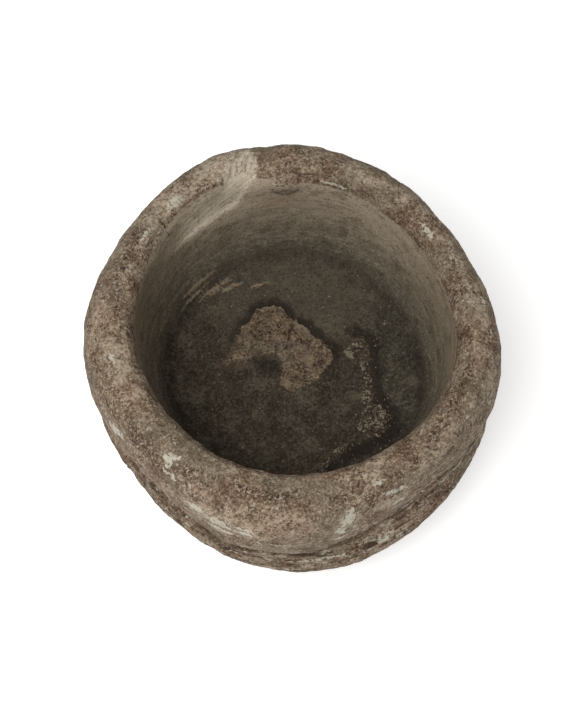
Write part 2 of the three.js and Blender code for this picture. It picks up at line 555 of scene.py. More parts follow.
def merged_copy(node):
    """A copy of a CAD node's mesh with its loose triangles joined up."""
    work = bmesh.new()
    work.from_mesh(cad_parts[node].data)
    bmesh.ops.remove_doubles(work, verts=work.verts, dist=0.001 * MM)
    mesh = bpy.data.meshes.new(node + "_merged")
    work.to_mesh(mesh)
    work.free()
    return mesh


class Lie:
    """Where each point of the stone lies on the bowl."""

    def __init__(self, mesh):
        points, normals = points_of(mesh), normals_of(mesh)
        self.plan = points[:, :2] - axis
        self.radius = np.linalg.norm(self.plan, axis=1)
        self.around = np.degrees(np.arctan2(self.plan[:, 1], self.plan[:, 0])) % 360
        self.below = crest - points[:, 2]
        self.outward = np.einsum("ij,ij->i", normals[:, :2], self.plan) / np.maximum(self.radius, MM)
        self.upward = normals[:, 2]
        within = (self.radius < RIM_MIDDLE) & (points[:, 2] > UNDER_FLOOR)
        start = by_steps(self.around, WALL_TOP) * MM
        self.inside = smooth_rise(self.below - start, 0, 7 * MM) * within
        falls_in = within & (self.outward < 0)
        down = np.where(falls_in, -self.below, self.below)
        self.girth = self.radius - OPENING + down

    def spread(self, features):
        """1 in the middle of the nearest feature, 0 at its edge and less outside it."""
        best = np.full(len(self.around), -1.0)
        for around, girth, half_length, half_width, turn in features:
            u = np.radians(turn_from(self.around, around)) * self.radius
            v = self.girth - girth * MM
            c, s = math.cos(math.radians(turn)), math.sin(math.radians(turn))
            span = np.hypot((u * c + v * s) / (half_length * MM), (v * c - u * s) / (half_width * MM))
            best = np.maximum(best, 1.0 - span)
        return best

    def crack_gap(self):
        """The distance to the nearest crack."""
        return np.min([self.unrolled_gap(line, CRACK_RADIUS)[0] for line in CRACKS], axis=0)

    def unrolled_gap(self, line, radius):
        """The distance to a line of (degrees, mm of girth) laid out at a radius, and how far along it."""
        places = np.column_stack((np.radians(self.around) * radius, self.girth))
        corners = [(math.radians(around) * radius, girth * MM) for around, girth in line]
        return nearest_along(places, corners)

    def bed_depth(self):
        """How far each point lies inside the edge of the worn bed."""
        low = by_steps(self.around, BED_LOW) * MM - self.below
        reach = by_steps(self.around, BED_REACH) * MM - self.radius
        depth = np.minimum(np.minimum(low, reach), self.beside_bank())
        return np.where(self.below < BED_DROP, depth, -CM)

    def under_collar(self):
        """How far each point of the outside lies below the collar's lower edge."""
        lifted = bell(turn_from(self.around, COLLAR_LIFT_MIDDLE), COLLAR_LIFT_WIDTH)
        uneven = sum(high * np.sin(np.radians(count * self.around)) for high, count in COLLAR_WAVES)
        return self.below - COLLAR_HEIGHT + COLLAR_LIFT * lifted + uneven * MM

    def beside_bank(self):
        """How far each point lies from the worn bed's steep bank, on the bed's side."""
        return np.radians(self.around - by_steps(self.radius / MM, BED_BANK)) * self.radius

    def down_the_bed(self):
        """How far along the worn bed and how far across it each point lies."""
        gap, along = self.unrolled_gap(BED_LINE, BED_RADIUS)
        side = np.sign(self.girth - by_steps(self.around, BED_LINE[::-1]) * MM)
        return along * BED_PATTERN * MM, gap * side


def stretch(around, begins, full, fades, ends):
    """1 along a stretch of the way round, in degrees, with a smooth rise and fall at its ends."""
    return smooth_rise(around, begins, full) * (1 - smooth_rise(around, fades, ends))


def mark_zones(mesh):
    """Stores the zones of the stone that its relief and its colour follow."""
    lie = Lie(mesh)
    hanging = (lie.radius > RIM_MIDDLE) & (lie.below > 2 * CM)
    outside = np.maximum(smooth_rise(lie.outward, 0.3, 0.8), hanging) * (1 - lie.inside)
    in_front = stretch(lie.around, *LAYERED_STRETCH)
    under = lie.under_collar()
    bed = lie.bed_depth()
    along, across = lie.down_the_bed()
    knob = np.clip(lie.spread(KNOB), 0, 1)
    cut = (0.2 + 0.8 * stretch(lie.around, *GROOVED_STRETCH)) * outside
    groove = bell(under, 4 * MM, 1 * MM) * cut
    overhang = bell(under, 6 * MM, -9 * MM) * cut
    press = (LIP_RISE * overhang - GROOVE_CUT * groove) * MM
    press += (KNOB_RISE * smooth_rise(knob, 0, 0.5) - BED_CUT * smooth_rise(bed, 0, 5 * MM)) * MM
    floor = smooth_rise(lie.upward, 0.4, 0.85) * smooth_rise(lie.below, 82 * MM, 92 * MM) * lie.inside
    bare = signed_gap(lie.plan, np.array(BARE_FLOOR) * MM)
    zones = {
        "inside": lie.inside,
        "floor": floor,
        "bed": np.clip(bed / CM, -1, 1),
        "smoothed": np.minimum(lie.spread(SMOOTHED), lie.beside_bank() / CM),
        "along": along,
        "across": across,
        "under": np.clip(under / CM, -2, 2) * (outside > 0.2) - 2.0 * (outside <= 0.2),
        "press": press,
        "layered": (0.35 + 0.65 * in_front) * (1 - 0.5 * smooth_rise(under, 14 * MM, 36 * MM)),
        "groove": groove,
        "lime": lie.spread(LIME),
        "pale": lie.spread(PALE),
        "rose": lie.spread(ROSE),
        "rust": lie.spread(RUST),
        "dragged": lie.spread(DRAGGED),
        "knob": knob,
        "crack": np.clip(lie.crack_gap() / (6 * MM), 0, 1),
        "bare": np.clip(bare / (2 * CM), -1, 1) * (lie.below > FLOOR_DROP),
        # soil and painted shadow on the floor round the cake's upper edges and along the crust
        "soiled": soil_and_shadow_round_the_residue(lie.plan) * (lie.below > FLOOR_DROP),
    }
    for name, values in zones.items():
        set_zone(mesh, name, values)


def relief(shaping, sizes):
    """How far each point of the stone moves out along its normal."""
    place = shaping.place
    inside, bed, under, press, lime, knob = (
        shaping.zone(n) for n in ("inside", "bed", "under", "press", "lime", "knob")
    )
    worn = shaping.math("MAXIMUM", bed.rise(-0.05, 0.25), shaping.zone("smoothed").rise(-0.1, 0.3) * 0.8)
    rough = (1 - 0.72 * inside * (1 - knob.rise(0.0, 0.4))) * (1 - 0.9 * worn)
    swell = (shaping.noise(place, 30 * MM, 2.0) - 0.5) * sizes["Swell"]
    lumps = (shaping.noise(place, 9 * MM, 3.0, 0.55) - 0.5) * sizes["Lumps"] * rough
    pored = shaping.noise(place, 30 * MM, 2.0).rise(0.42, 0.6)
    pores = shaping.noise(place, 3.2 * MM, 1.0).rise(0.40, 0.27) * pored * rough * lime.rise(0.0, -0.3)
    layered = shaping.vector("MULTIPLY", place, (0.10, 0.10, 1.0))
    layers = shaping.noise(layered, 5.5 * MM, 2.0, 0.65, warp=0.4).rise(0.42, 0.56)
    ledges = (layers - 0.5) * sizes["Ledges"] * under.rise(-1.6, 0.6) * shaping.zone("layered")
    grain = (shaping.noise(place, 2.2 * MM, 1.0) - 0.5) * sizes["Grain"] * (1 - 0.6 * worn)
    height = shaping.split(place)[2]
    free = height.rise(FOOT_SOLE / 3, 3 * FOOT_SOLE)
    return (swell + lumps + ledges + grain + press - pores * sizes["Pore depth"]) * free


def hewing_tree(material):
    """Moves the stone's surface by its relief, with one named input for each of its sizes."""
    names = ("Swell", "Lumps", "Pore depth", "Ledges", "Grain")
    shaping = Shaping("hewing", {name: "NodeSocketFloat" for name in names})
    offset = shaping.scaled(shaping.node("GeometryNodeInputNormal"), relief(shaping, shaping.inputs))
    moved = shaping.node(
        "GeometryNodeSetPosition", {}, {"Geometry": shaping.inputs["Geometry"], "Offset": offset}
    )
    shaping.finish(moved, material)
    return shaping


def blotched(mask, soft, width, torn):
    """A zone's blotch with a torn edge: torn says how far the noise moves the edge."""
    return (mask + 2.0 * torn * (soft - 0.5)).rise(-width / 2, width / 2)


def outer_colour(s, look, grains):
    """The rough outside: mottled brown stone with pits, blushes and pale worn places."""
    place, patchy, fine, sand = s.place, grains["patchy"], grains["fine"], grains["sand"]
    broad = s.noise(place, 22 * MM, 3.0, 0.6)
    mottle = 0.16 * broad + 0.34 * patchy + 0.34 * fine + 0.16 * sand
    tones = (look.rust, look.umber, look.brown, look.sand, look.pale)
    base = s.ramp(mottle, list(zip((0.41, 0.46, 0.50, 0.54, 0.59), tones)))
    drab = s.noise(place, 45 * MM, 3.0).rise(0.42, 0.60)
    base = s.mix(drab * 0.5, base, look.drab)
    ruddy = s.noise(place, 15 * MM, 4.0, 0.7).rise(0.52, 0.66) * (1 - drab)
    base = s.mix(ruddy * 0.5, base, look.ruddy)
    rosy = blotched(s.zone("rose"), patchy, 1.1, 2.0)
    base = s.mix(rosy * fine.rise(0.34, 0.62) * 0.6, base, look.rose)
    worn = blotched(s.zone("pale"), patchy, 1.1, 2.0)
    base = s.mix(worn * (0.30 + 0.70 * fine.rise(0.40, 0.60)) * 0.75, base, look.pale)
    base = s.mix(grains["rusty"] * fine.rise(0.62, 0.44) * 0.8, base, look.rust)
    clumped = s.noise(place, 13 * MM, 3.0, 0.6)
    base = s.mix(grains["light specks"] * clumped.rise(0.40, 0.58) * 0.75, base, look.pale)
    base = s.mix(grains["dark specks"] * clumped.rise(0.60, 0.42) * 0.85, base, look.pit)
    pits = grains["pits"]
    base = s.mix(pits * 0.9, base, look.pit)
    limed = s.noise(place, 21 * MM, 3.0, 0.6).rise(0.44, 0.62)
    flecks = s.noise(place, 2.6 * MM, 3.0, 0.7).rise(0.56, 0.66) * limed
    base = s.mix(flecks * 0.7, base, look.lime)
    return base


def layered_colour(s, look, base, grains):
    """The body below the collar, where the stone breaks in thin pale and dark layers, with painted shade in
    the groove under the collar.
    """
    place = s.place
    under = s.zone("under")
    flat = s.vector("MULTIPLY", place, (0.11, 0.11, 1.0))
    layers = s.noise(flat, 3.2 * MM, 3.0, 0.7, warp=0.4)
    body = under.rise(-1.3, 0.3) * s.zone("layered")
    base = s.mix(body * 0.16, base, look.rust)
    dark = layers.rise(0.49, 0.38) * body
    base = s.mix(dark * 0.8, base, look.pit)
    light = layers.rise(0.54, 0.63) * body * grains["fine"].rise(0.36, 0.52)
    base = s.mix(light * 0.6, base, look.pale)
    thin = s.noise(flat, 2.2 * MM, 2.0).rise(0.57, 0.65) * under.rise(-1.9, -0.6) * s.zone("layered")
    base = s.mix(thin * grains["fine"].rise(0.42, 0.54) * 0.85, base, look.lime)
    # painted shade: the groove under the collar darkened with the pit colour
    return s.mix(s.zone("groove") * 0.6, base, look.pit)


def wall_colour(s, look, grains):
    """The ground wall: drawn round in faint streaks, darker towards its foot, with painted light on its back
    and painted shade on its left.
    """
    place, fine, sand = s.place, grains["fine"], grains["sand"]
    local = s.vector("SUBTRACT", place, (axis[0], axis[1], crest))
    z = s.split(local)[2]
    plan = s.vector("MULTIPLY", local, (1.0, 1.0, 0.0))
    way = s.scaled(s.vector("NORMALIZE", plan), 16 * MM)
    reach = s.vector("LENGTH", plan, output="Value")
    drop = s.join(0.0, 0.0, z * 0.9 + reach * 0.9)
    drawn = s.noise(s.vector("ADD", way, drop), 3.6 * MM, 4.0, 0.7, warp=0.3)
    tone = 0.45 * drawn + 0.35 * fine + 0.20 * sand
    depth = z * (-1.0 / (106 * MM))
    patchy = grains["patchy"]
    east, north, _ = (part / reach for part in s.split(local))
    # painted light: the back of the wall made paler, where the light falls on it
    upper = s.mix(north.rise(0.1, 0.95) * 0.95, look.wall, look.pale)
    # painted shade: the left of the wall darkened, where it lies in shade
    upper = s.mix(east.rise(-0.5, -1.0) * 0.25, upper, look.foot)
    base = s.mix((depth + 0.5 * (patchy - 0.5)).rise(0.34, 0.88), upper, look.foot)
    base = s.mix(tone.rise(0.485, 0.40) * 0.5, base, look.pit)
    base = s.mix(tone.rise(0.52, 0.61) * 0.45, base, look.pale)
    cloudy = s.noise(place, 14 * MM, 4.0, 0.7)
    base = s.mix(cloudy.rise(0.47, 0.36) * 0.35, base, look.pit)
    base = s.mix(grains["dark specks"] * 0.35, base, look.pit)
    base = s.mix(grains["light specks"] * 0.16, base, look.pale)
    rosy = blotched(s.zone("rose"), grains["patchy"], 0.9, 2.0)
    base = s.mix(rosy * fine.rise(0.38, 0.6) * 0.7, base, look.rose)
    knobby = s.zone("knob").rise(0.0, 0.3)
    base = s.mix(knobby * tone.rise(0.55, 0.42) * 0.6, base, look.pit)
    return base, drawn, depth, north


def floor_colour(s, look, grains, drawn, north):
    """The stained floor: brown where food dried on it, and a bare grey-green beyond the crust; painted
    lighter towards the back where the light falls, with painted shadow round the residue.
    """
    fine, sand, patchy = grains["fine"], grains["sand"], grains["patchy"]
    cloudy = s.noise(s.place, 16 * MM, 5.0, 0.7)
    bare = (s.zone("bare") + 2.0 * (cloudy - 0.5)).rise(-0.40, 0.60)
    base = s.mix(bare * 0.85, look.floor, look.bare)
    tone = 0.20 * drawn + 0.20 * patchy + 0.35 * fine + 0.25 * sand
    base = s.mix(tone.rise(0.50, 0.41) * 0.75, base, look.soot)
    base = s.mix(tone.rise(0.51, 0.60) * 0.65, base, look.foot)
    base = s.mix(cloudy.rise(0.49, 0.36) * 0.55, base, look.soot)
    base = s.mix(cloudy.rise(0.52, 0.66) * 0.45, base, look.foot)
    # painted light: the back of the floor lightened, where the light falls on it
    base = s.mix(north.rise(0.35, 0.9) * 0.35, base, look.foot)
    base = s.mix(grains["light specks"] * 0.32, base, look.foot)
    base = s.mix(grains["dark specks"] * 0.5, base, look.soot)
    # painted shadow with soil: the floor darkened under the cake's upper edges and along the crust
    soiled = (s.zone("soiled") + 2.2 * (patchy - 0.5)).rise(0.25, 0.95)
    return s.mix(soiled * 0.8, base, look.soot)


def stone_material(look):
    """The whole stone's finish: the outside, the wall and floor, then the bed, the lime and the cracks."""
    material = bpy.data.materials.new("basalt")
    s = Surface(material)
    place = s.place
    grains = {
        "patchy": s.noise(place, 9 * MM, 4.0, 0.68),
        "fine": s.noise(place, 2.3 * MM, 2.0, 0.7),
        "sand": s.noise(place, 1.1 * MM, 1.0, 0.5),
        "light specks": s.noise(place, 1.7 * MM, 2.0, 0.7).rise(0.55, 0.62),
        "dark specks": s.noise(place, 2.0 * MM, 2.0, 0.7).rise(0.44, 0.37),
    }
    rusty = blotched(s.zone("rust"), grains["patchy"], 1.0, 1.8)
    grains["rusty"] = rusty
    dense = s.math("MAXIMUM", rusty, s.noise(place, 17 * MM, 2.0).rise(0.45, 0.68) * 0.8)
    grains["pits"] = s.noise(place, 1.9 * MM, 2.0, 0.6).rise(0.45, 0.36) * dense

    base = outer_colour(s, look, grains)
    base = layered_colour(s, look, base, grains)
    wall, drawn, depth, north = wall_colour(s, look, grains)
    floor = s.zone("floor")
    wall = s.mix(floor, wall, floor_colour(s, look, grains, drawn, north))
    low = depth + 0.22 * (grains["patchy"] - 0.5)
    # a dark band along the foot of the wall, where it meets the floor
    foot_line = low.rise(0.80, 0.88) * low.rise(0.98, 0.91)
    wall = s.mix(foot_line * 0.38, wall, look.soot)
    dragged = (s.zone("dragged") + 2.6 * (drawn - 0.5) + 1.4 * (grains["fine"] - 0.5)).rise(0.0, 0.8)
    wall = s.mix(dragged * 0.75, wall, look.sand)
    inside = (s.zone("inside") + 1.2 * (grains["patchy"] - 0.5)).rise(0.3, 0.7)
    base = s.mix(inside, base, wall)

    worn = (s.zone("bed") + 1.6 * (grains["patchy"] - 0.5)).rise(-0.20, 0.40)
    run = s.join(s.zone("across"), s.zone("along") * 0.12, 0.0)
    poured = s.noise(run, 2.6 * MM, 4.0, 0.7, warp=0.3)
    bed = s.mix(poured.rise(0.48, 0.66), look.channel, look.cream)
    bed = s.mix(poured.rise(0.47, 0.34) * 0.75, bed, look.umber)
    bed = s.mix(grains["fine"].rise(0.46, 0.34) * 0.5, bed, look.umber)
    smoothed = (s.zone("smoothed") + 1.6 * (grains["patchy"] - 0.5)).rise(-0.2, 0.5)
    facet = s.mix(grains["fine"].rise(0.40, 0.60), look.sand, look.channel)
    base = s.mix(smoothed * (0.35 + 0.75 * grains["patchy"]), base, facet)
    base = s.mix(s.math("MINIMUM", worn * (0.5 + 0.8 * poured), 0.95), base, bed)
    torn = 2.2 * (grains["patchy"] - 0.5) + 1.6 * (grains["fine"] - 0.5)
    lime = (s.zone("lime") + torn).rise(0.0, 0.35)
    lime = lime * (0.45 + 0.55 * grains["fine"].rise(0.38, 0.52))
    base = s.mix(lime * 0.9, base, look.lime)
    crack = (s.zone("crack") * 6.0 + 1.6 * (grains["patchy"] - 0.5)).rise(0.75, 0.25)
    base = s.mix(crack * 0.8, base, look.soot)

    rough_relief = 0.45 * grains["fine"] + 0.30 * grains["sand"] - 1.1 * grains["pits"] * (1 - inside)
    bump = rough_relief + 0.25 * drawn * inside - 0.8 * crack
    s.finish(base, 0.93 - 0.10 * worn, bump * (1 - 0.5 * worn), 0.9 * MM)
    return material


class MOLCAJETE_OT_stone(bpy.types.Operator):
    """Hew the stone bowl's surface and colour it"""

    bl_idname = "molcajete.stone"
    bl_label = "Hew the stone"

    def execute(self, context):
        look = context.scene.molcajete_stone
        material = stone_material(Shades(look))
        stone = new_piece("hewn_stone", merged_copy("stone_bowl"))
        even = stone.modifiers.new("even", "REMESH")
        even.mode, even.voxel_size = "VOXEL", look.grid
        worn = stone.modifiers.new("worn", "SMOOTH")
        worn.factor, worn.iterations = 0.5, 30
        mesh = frozen(stone)
        points = points_of(mesh)
        points[points[:, 2] < STANDING, 2] = 0.0
        set_points(mesh, points)
        mark_zones(mesh)
        hewing = hewing_tree(material)
        sizes = {"Swell": look.swell, "Lumps": look.lumps, "Pore depth": look.pore_depth}
        sizes.update({"Ledges": look.ledges, "Grain": look.grain})
        mesh = hewing.apply(stone, sizes)
        mesh.calc_loop_triangles()
        thin = stone.modifiers.new("thin", "DECIMATE")
        thin.ratio = min(1.0, look.triangles / len(mesh.loop_triangles))
        mesh = frozen(stone)
        mesh.shade_smooth()
        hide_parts("stone_bowl")
        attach(stone, "root")
        return {"FINISHED"}


# ---- The residue -----------------------------------------------------------------------------------

# The cake's outline and the crust's pieces in plan, mm from the bowl's axis.
CAKE = (
    (-25, 56), (-15, 57), (-7, 50), (0, 44), (9, 39), (22, 26), (31, 19), (26, 10), (18, -3), (8, -9),
    (-2, -14), (-8, -9), (-13, 0), (-20, 3), (-32, 4), (-52, 3), (-59, 4), (-48, 21), (-44, 31), (-34, 47),
)
CAKE_UP = (0.25, 0.97)  # the way, in plan, towards its thick edges
CAKE_BITE = ((-30, 12), (-24, 15), (-14, 15), (-9, 10), (-10, 2), (-14, -6), (-26, -2), (-31, 4))
CAKE_CRACK = ((-1, 39), (-4, 34), (-5, 27), (-6, 22), (-10, 19))
CAKE_RIDGES = (
    ((-31, 53), (-24, 51), (-19, 54)),
    ((-6, 48), (0, 42), (3, 41)),
    ((-56, 10), (-42, 13), (-30, 15), (-16, 18), (-7, 13)),
)
WEDGE = ((52, 33), (57, 24), (59, 12), (48, 11), (39, 16), (38, 20), (44, 29))
WEDGE_MIDDLE = (48, 22)
WEDGE_UP = (-0.86, 0.5)  # the way, in plan, towards its lifted edge
STRING = ((53, 9), (55, 1), (55, -7), (57, -15), (54, -20))
CLOD = ((56, -24), (65, -24), (70, -31), (69, -42), (64, -50), (56, -50), (49, -44), (50, -32))
TRAIL = ((45, -50), (38, -56), (32, -61), (26, -69), (22, -76))

# The part of the floor that stayed bare, behind the cake and to the right of the crust.
BARE_FLOOR = (
    (-12, 62), (8, 46), (33, 28), (46, 36), (57, 32), (62, 6), (62, -18), (74, -28), (76, -42),
    (66, -56), (40, -66), (24, -82), (60, -100), (112, -60), (116, 20), (80, 92), (20, 108), (-34, 96),
)
# Where soil gathered along the crust, and where painted shadow lies beside it.
SOIL_AND_SHADOW_LINE = (
    (46, 36), (57, 32), (61, 14), (60, -4), (62, -18), (74, -28), (75, -44), (60, -56), (40, -64), (22, -80),
)

# Where loose grains may lie, and the seed that scatters them.
GRAIN_REACH = 96 * MM  # from the axis
GRAIN_DROP = 88 * MM  # under the crest, at least
FLAT_ENOUGH = 0.3  # how far up the stone's normal has to point for a grain to rest on it
GRAIN_SEED = 7


def signed_gap(places, outline):
    """How far each place in plan lies inside a closed outline, or outside it where negative."""
    ring = np.vstack((outline, outline[:1]))
    gap = nearest_along(places, ring)[0]
    within = np.zeros(len(places), bool)
    for (ax, ay), (bx, by) in zip(ring[:-1], ring[1:]):
        spans = (ay > places[:, 1]) != (by > places[:, 1])
        rise = by - ay if by != ay else 1.0
        within ^= spans & (places[:, 0] < ax + (places[:, 1] - ay) / rise * (bx - ax))
    return np.where(within, gap, -gap)


def up_the_cake(places):
    """How far towards its thick upper edges a place in plan is, 0 to 1."""
    return smooth_rise(places @ np.array(CAKE_UP), -8 * MM, 42 * MM)


def soil_and_shadow_round_the_residue(places):
    """Where dark soil and painted shadow lie on the floor: under the cake's upper edges, and along the
    crust.
    """
    by_cake = -signed_gap(places, np.array(CAKE) * MM)
    halo = (1 - smooth_rise(by_cake, 1 * MM, 13 * MM)) * (0.25 + 0.75 * up_the_cake(places))
    in_bite = signed_gap(places, np.array(CAKE_BITE) * MM)
    halo = np.maximum(halo, 0.75 * smooth_rise(in_bite, -1 * MM, 5 * MM))
    by_line = nearest_along(places, np.array(SOIL_AND_SHADOW_LINE) * MM)[0]
    line = 0.9 * (1 - smooth_rise(by_line, 2 * MM, 10 * MM))
    return np.maximum(halo, line)


def bumps(places, feature, seed):
    """Soft noise from -1 to 1 over places in plan, with features about that many metres apart."""
    shift = 17.3 * seed
    spots = [(x / feature + shift, y / feature - shift, shift) for x, y in places]
    return np.array([noise.noise(Vector(spot)) for spot in spots])


def bumpy(places, *layers):
    """A sum of soft noises in mm, one for each (height mm, feature mm, seed)."""
    return sum(height * bumps(places, feature * MM, seed) for height, feature, seed in layers)


def deposit(name, node, ground, rise_of, cell, sunk, material):
    """Lays a closed piece of residue over the stone, where rise_of gives it a height over the ground."""
    low, high = (np.array(corner[:2]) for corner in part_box(node))
    margin = 9 * MM  # round the node's own box, for the torn edges
    least = 0.4 * MM  # thickness
    columns = np.arange(low[0] - margin, high[0] + margin, cell)
    lines = np.arange(low[1] - margin, high[1] + margin, cell)
    grid = np.stack(np.meshgrid(columns, lines, indexing="ij"), axis=-1)
    places = grid.reshape(-1, 2) - axis
    rise, zones = rise_of(places)
    start, down = crest - 3 * CM, Vector((0, 0, -1))  # inside the bowl, over everything on its floor
    floor = np.array([ground.ray_cast(Vector((*p, start)), down)[0].z for p in places + axis])
    shape = grid.shape[:2]
    rise = np.maximum(rise, -sunk)
    high_enough = (rise > -0.6 * sunk).reshape(shape)
    kept = high_enough[:-1, :-1] | high_enough[1:, :-1] | high_enough[:-1, 1:] | high_enough[1:, 1:]
    kept = without_corner_touches(kept)
    top = floor + rise
    base = np.minimum(top, floor - sunk) - least
    mesh = slab(grid.reshape(-1, 2), top, base, kept, shape, name)
    for zone, values in zones.items():
        set_zone(mesh, zone, np.concatenate((values, values))[mesh_order(kept, shape)])
    mesh.materials.append(material)
    mesh.shade_smooth()
    piece = new_piece(name, mesh)
    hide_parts(node)
    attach(piece, "root")
    return piece


def without_corner_touches(kept):
    """Fills cells so that no two meet at a corner only."""
    while True:
        a, b, c, d = kept[:-1, :-1], kept[1:, :-1], kept[:-1, 1:], kept[1:, 1:]
        bad = (a & d & ~b & ~c) | (b & c & ~a & ~d)
        if not bad.any():
            return kept
        for block in (a, b, c, d):
            block |= bad


def mesh_order(kept, shape):
    """The grid's points that a slab uses, its top ones first and its base ones after."""
    used = np.zeros(shape, bool)
    for i in (0, 1):
        for j in (0, 1):
            used[i : i + kept.shape[0], j : j + kept.shape[1]] |= kept
    chosen = np.flatnonzero(used.ravel())
    return np.concatenate((chosen, chosen + used.size))


def slab(plan, top, base, kept, shape, name):
    """A closed mesh over the kept cells of a grid, from its base heights to its top heights."""
    order = mesh_order(kept, shape)
    number = np.full(2 * plan.shape[0], -1)
    number[order] = np.arange(len(order))
    points = np.vstack((np.column_stack((plan, top)), np.column_stack((plan, base))))[order]
    index = np.arange(plan.shape[0]).reshape(shape)
    corners = [index[:-1, :-1], index[1:, :-1], index[1:, 1:], index[:-1, 1:]]
    tops = np.stack([c[kept] for c in corners], axis=1)
    faces = [tuple(f) for f in number[tops]]
    faces += [tuple(f) for f in number[tops[:, ::-1] + plan.shape[0]]]
    walled = np.pad(kept, 1)
    for side, (di, dj) in enumerate(((0, -1), (1, 0), (0, 1), (-1, 0))):
        beside = walled[1 + di : walled.shape[0] - 1 + di, 1 + dj : walled.shape[1] - 1 + dj]
        edge = kept & ~beside
        a, b = corners[side][edge], corners[(side + 1) % 4][edge]
        lower = plan.shape[0]
        faces += [tuple(f) for f in number[np.stack((b, a, a + lower, b + lower), axis=1)]]
    mesh = bpy.data.meshes.new(name)
    mesh.from_pydata(points.tolist(), [], [tuple(int(i) for i in f) for f in faces])
    mesh.update()
    return mesh


def cake_rise(look):
    """The height of the cake: a thin flaked plate with broken raised edges, a crack and pits."""

    def rise_of(places):
        gap = signed_gap(places, np.array(CAKE) * MM)
        gap = np.minimum(gap, -signed_gap(places, np.array(CAKE_BITE) * MM))
        gap = gap + bumpy(places, (2.6, 8, 1), (2.0, 3.2, 2), (1.2, 1.6, 3)) * MM
        up = up_the_cake(places)
        left = 1 - smooth_rise(places[:, 0], -22 * MM, -4 * MM)
        up = np.maximum(up, 0.5 * (1 - left))
        thick = look.cake_rise * (0.32 + 0.68 * up)
        edge = np.clip(gap / ((1.6 + 2.6 * (1 - up)) * MM), 0, 1) ** 0.8
        lip = bell(gap, 1.2 * MM, 1.4 * MM) * (0.15 + 0.85 * up)
        rough = bumpy(places, (0.8, 12, 4), (0.4, 4.5, 5), (0.22, 1.8, 6))
        pits = np.clip(-bumps(places, 3.1 * MM, 7) - 0.34, 0, 1) * 2.4
        ridge = np.min([nearest_along(places, np.array(line) * MM)[0] for line in CAKE_RIDGES], axis=0)
        ridge = bell(ridge, 0.9 * MM)
        crack = nearest_along(places, np.array(CAKE_CRACK) * MM)[0] + 0.5 * MM * bumps(places, 2 * MM, 8)
        cut = bell(crack, 0.7 * MM)
        height = thick * edge + (0.9 * lip + 1.0 * ridge + (rough - pits - 1.3 * cut) * edge) * MM
        height = np.where(gap > 0, np.maximum(height, 0.3 * MM * edge), gap)
        thin = (1 - smooth_rise(gap, 0, 8 * MM)) * (1 - up) * left
        zones = {
            "thin": np.clip(thin, 0, 1),
            # the pale edges: broken edges, with painted highlights strongest on the upper edges and along
            # the ridges
            "edge": np.maximum(bell(gap, 2.2 * MM) * (0.2 + 0.8 * up), ridge),
            "pit": np.clip(pits * 1.2 + cut, 0, 1),
        }
        return height, zones

    return rise_of


def heap_rise(top, lumpy, seed, outline=None, line=None, reach=0.0):
    """The height of a lumpy heap of crust, inside an outline or as far as its reach from a line, mm."""

    def rise_of(places):
        if outline is not None:
            gap = signed_gap(places, np.array(outline) * MM)
        else:
            gap = reach * MM - nearest_along(places, np.array(line) * MM)[0]
        gap = gap + bumpy(places, (1.6, 6, seed), (1.1, 2.6, seed + 1)) * MM
        nuggets = np.clip(bumps(places, 2.4 * MM, seed + 2) + 0.05, 0, 1)
        small = np.clip(bumps(places, 1.4 * MM, seed + 3), 0, 1)
        edge = smooth_rise(gap, -0.5 * MM, 3.2 * MM)
        broad = 0.35 + 0.3 * bumps(places, 8 * MM, seed + 4)
        height = (top * broad + lumpy * (nuggets + 0.4 * small)) * edge
        height = np.where(gap > -0.4 * MM, height * MM, gap)
        return height, {"nugget": np.clip(1.7 * nuggets + 0.5 * small, 0, 1)}

    return rise_of


def wedge_rise(places):
    """The height of the wedge: a dark flake lifted along its upper left edge."""
    gap = signed_gap(places, np.array(WEDGE) * MM)
    gap = gap + bumpy(places, (1.2, 6, 21), (0.8, 2.4, 22)) * MM
    across = (places - np.array(WEDGE_MIDDLE) * MM) @ np.array(WEDGE_UP)
    lifted = smooth_rise(across, -9 * MM, 8 * MM)
    edge = smooth_rise(gap, 0, 1.8 * MM)
    rough = bumpy(places, (0.5, 5, 23), (0.35, 2, 24))
    height = ((1.0 + 2.6 * lifted + rough) * edge) * MM
    height = np.where(gap > 0, height, gap)
    nuggets = np.clip(bumps(places, 2.6 * MM, 25), 0, 1)
    rim = bell(gap, 1.4 * MM, 1.2 * MM) * lifted
    return height, {"nugget": np.clip(rim + 0.8 * nuggets * lifted, 0, 1)}


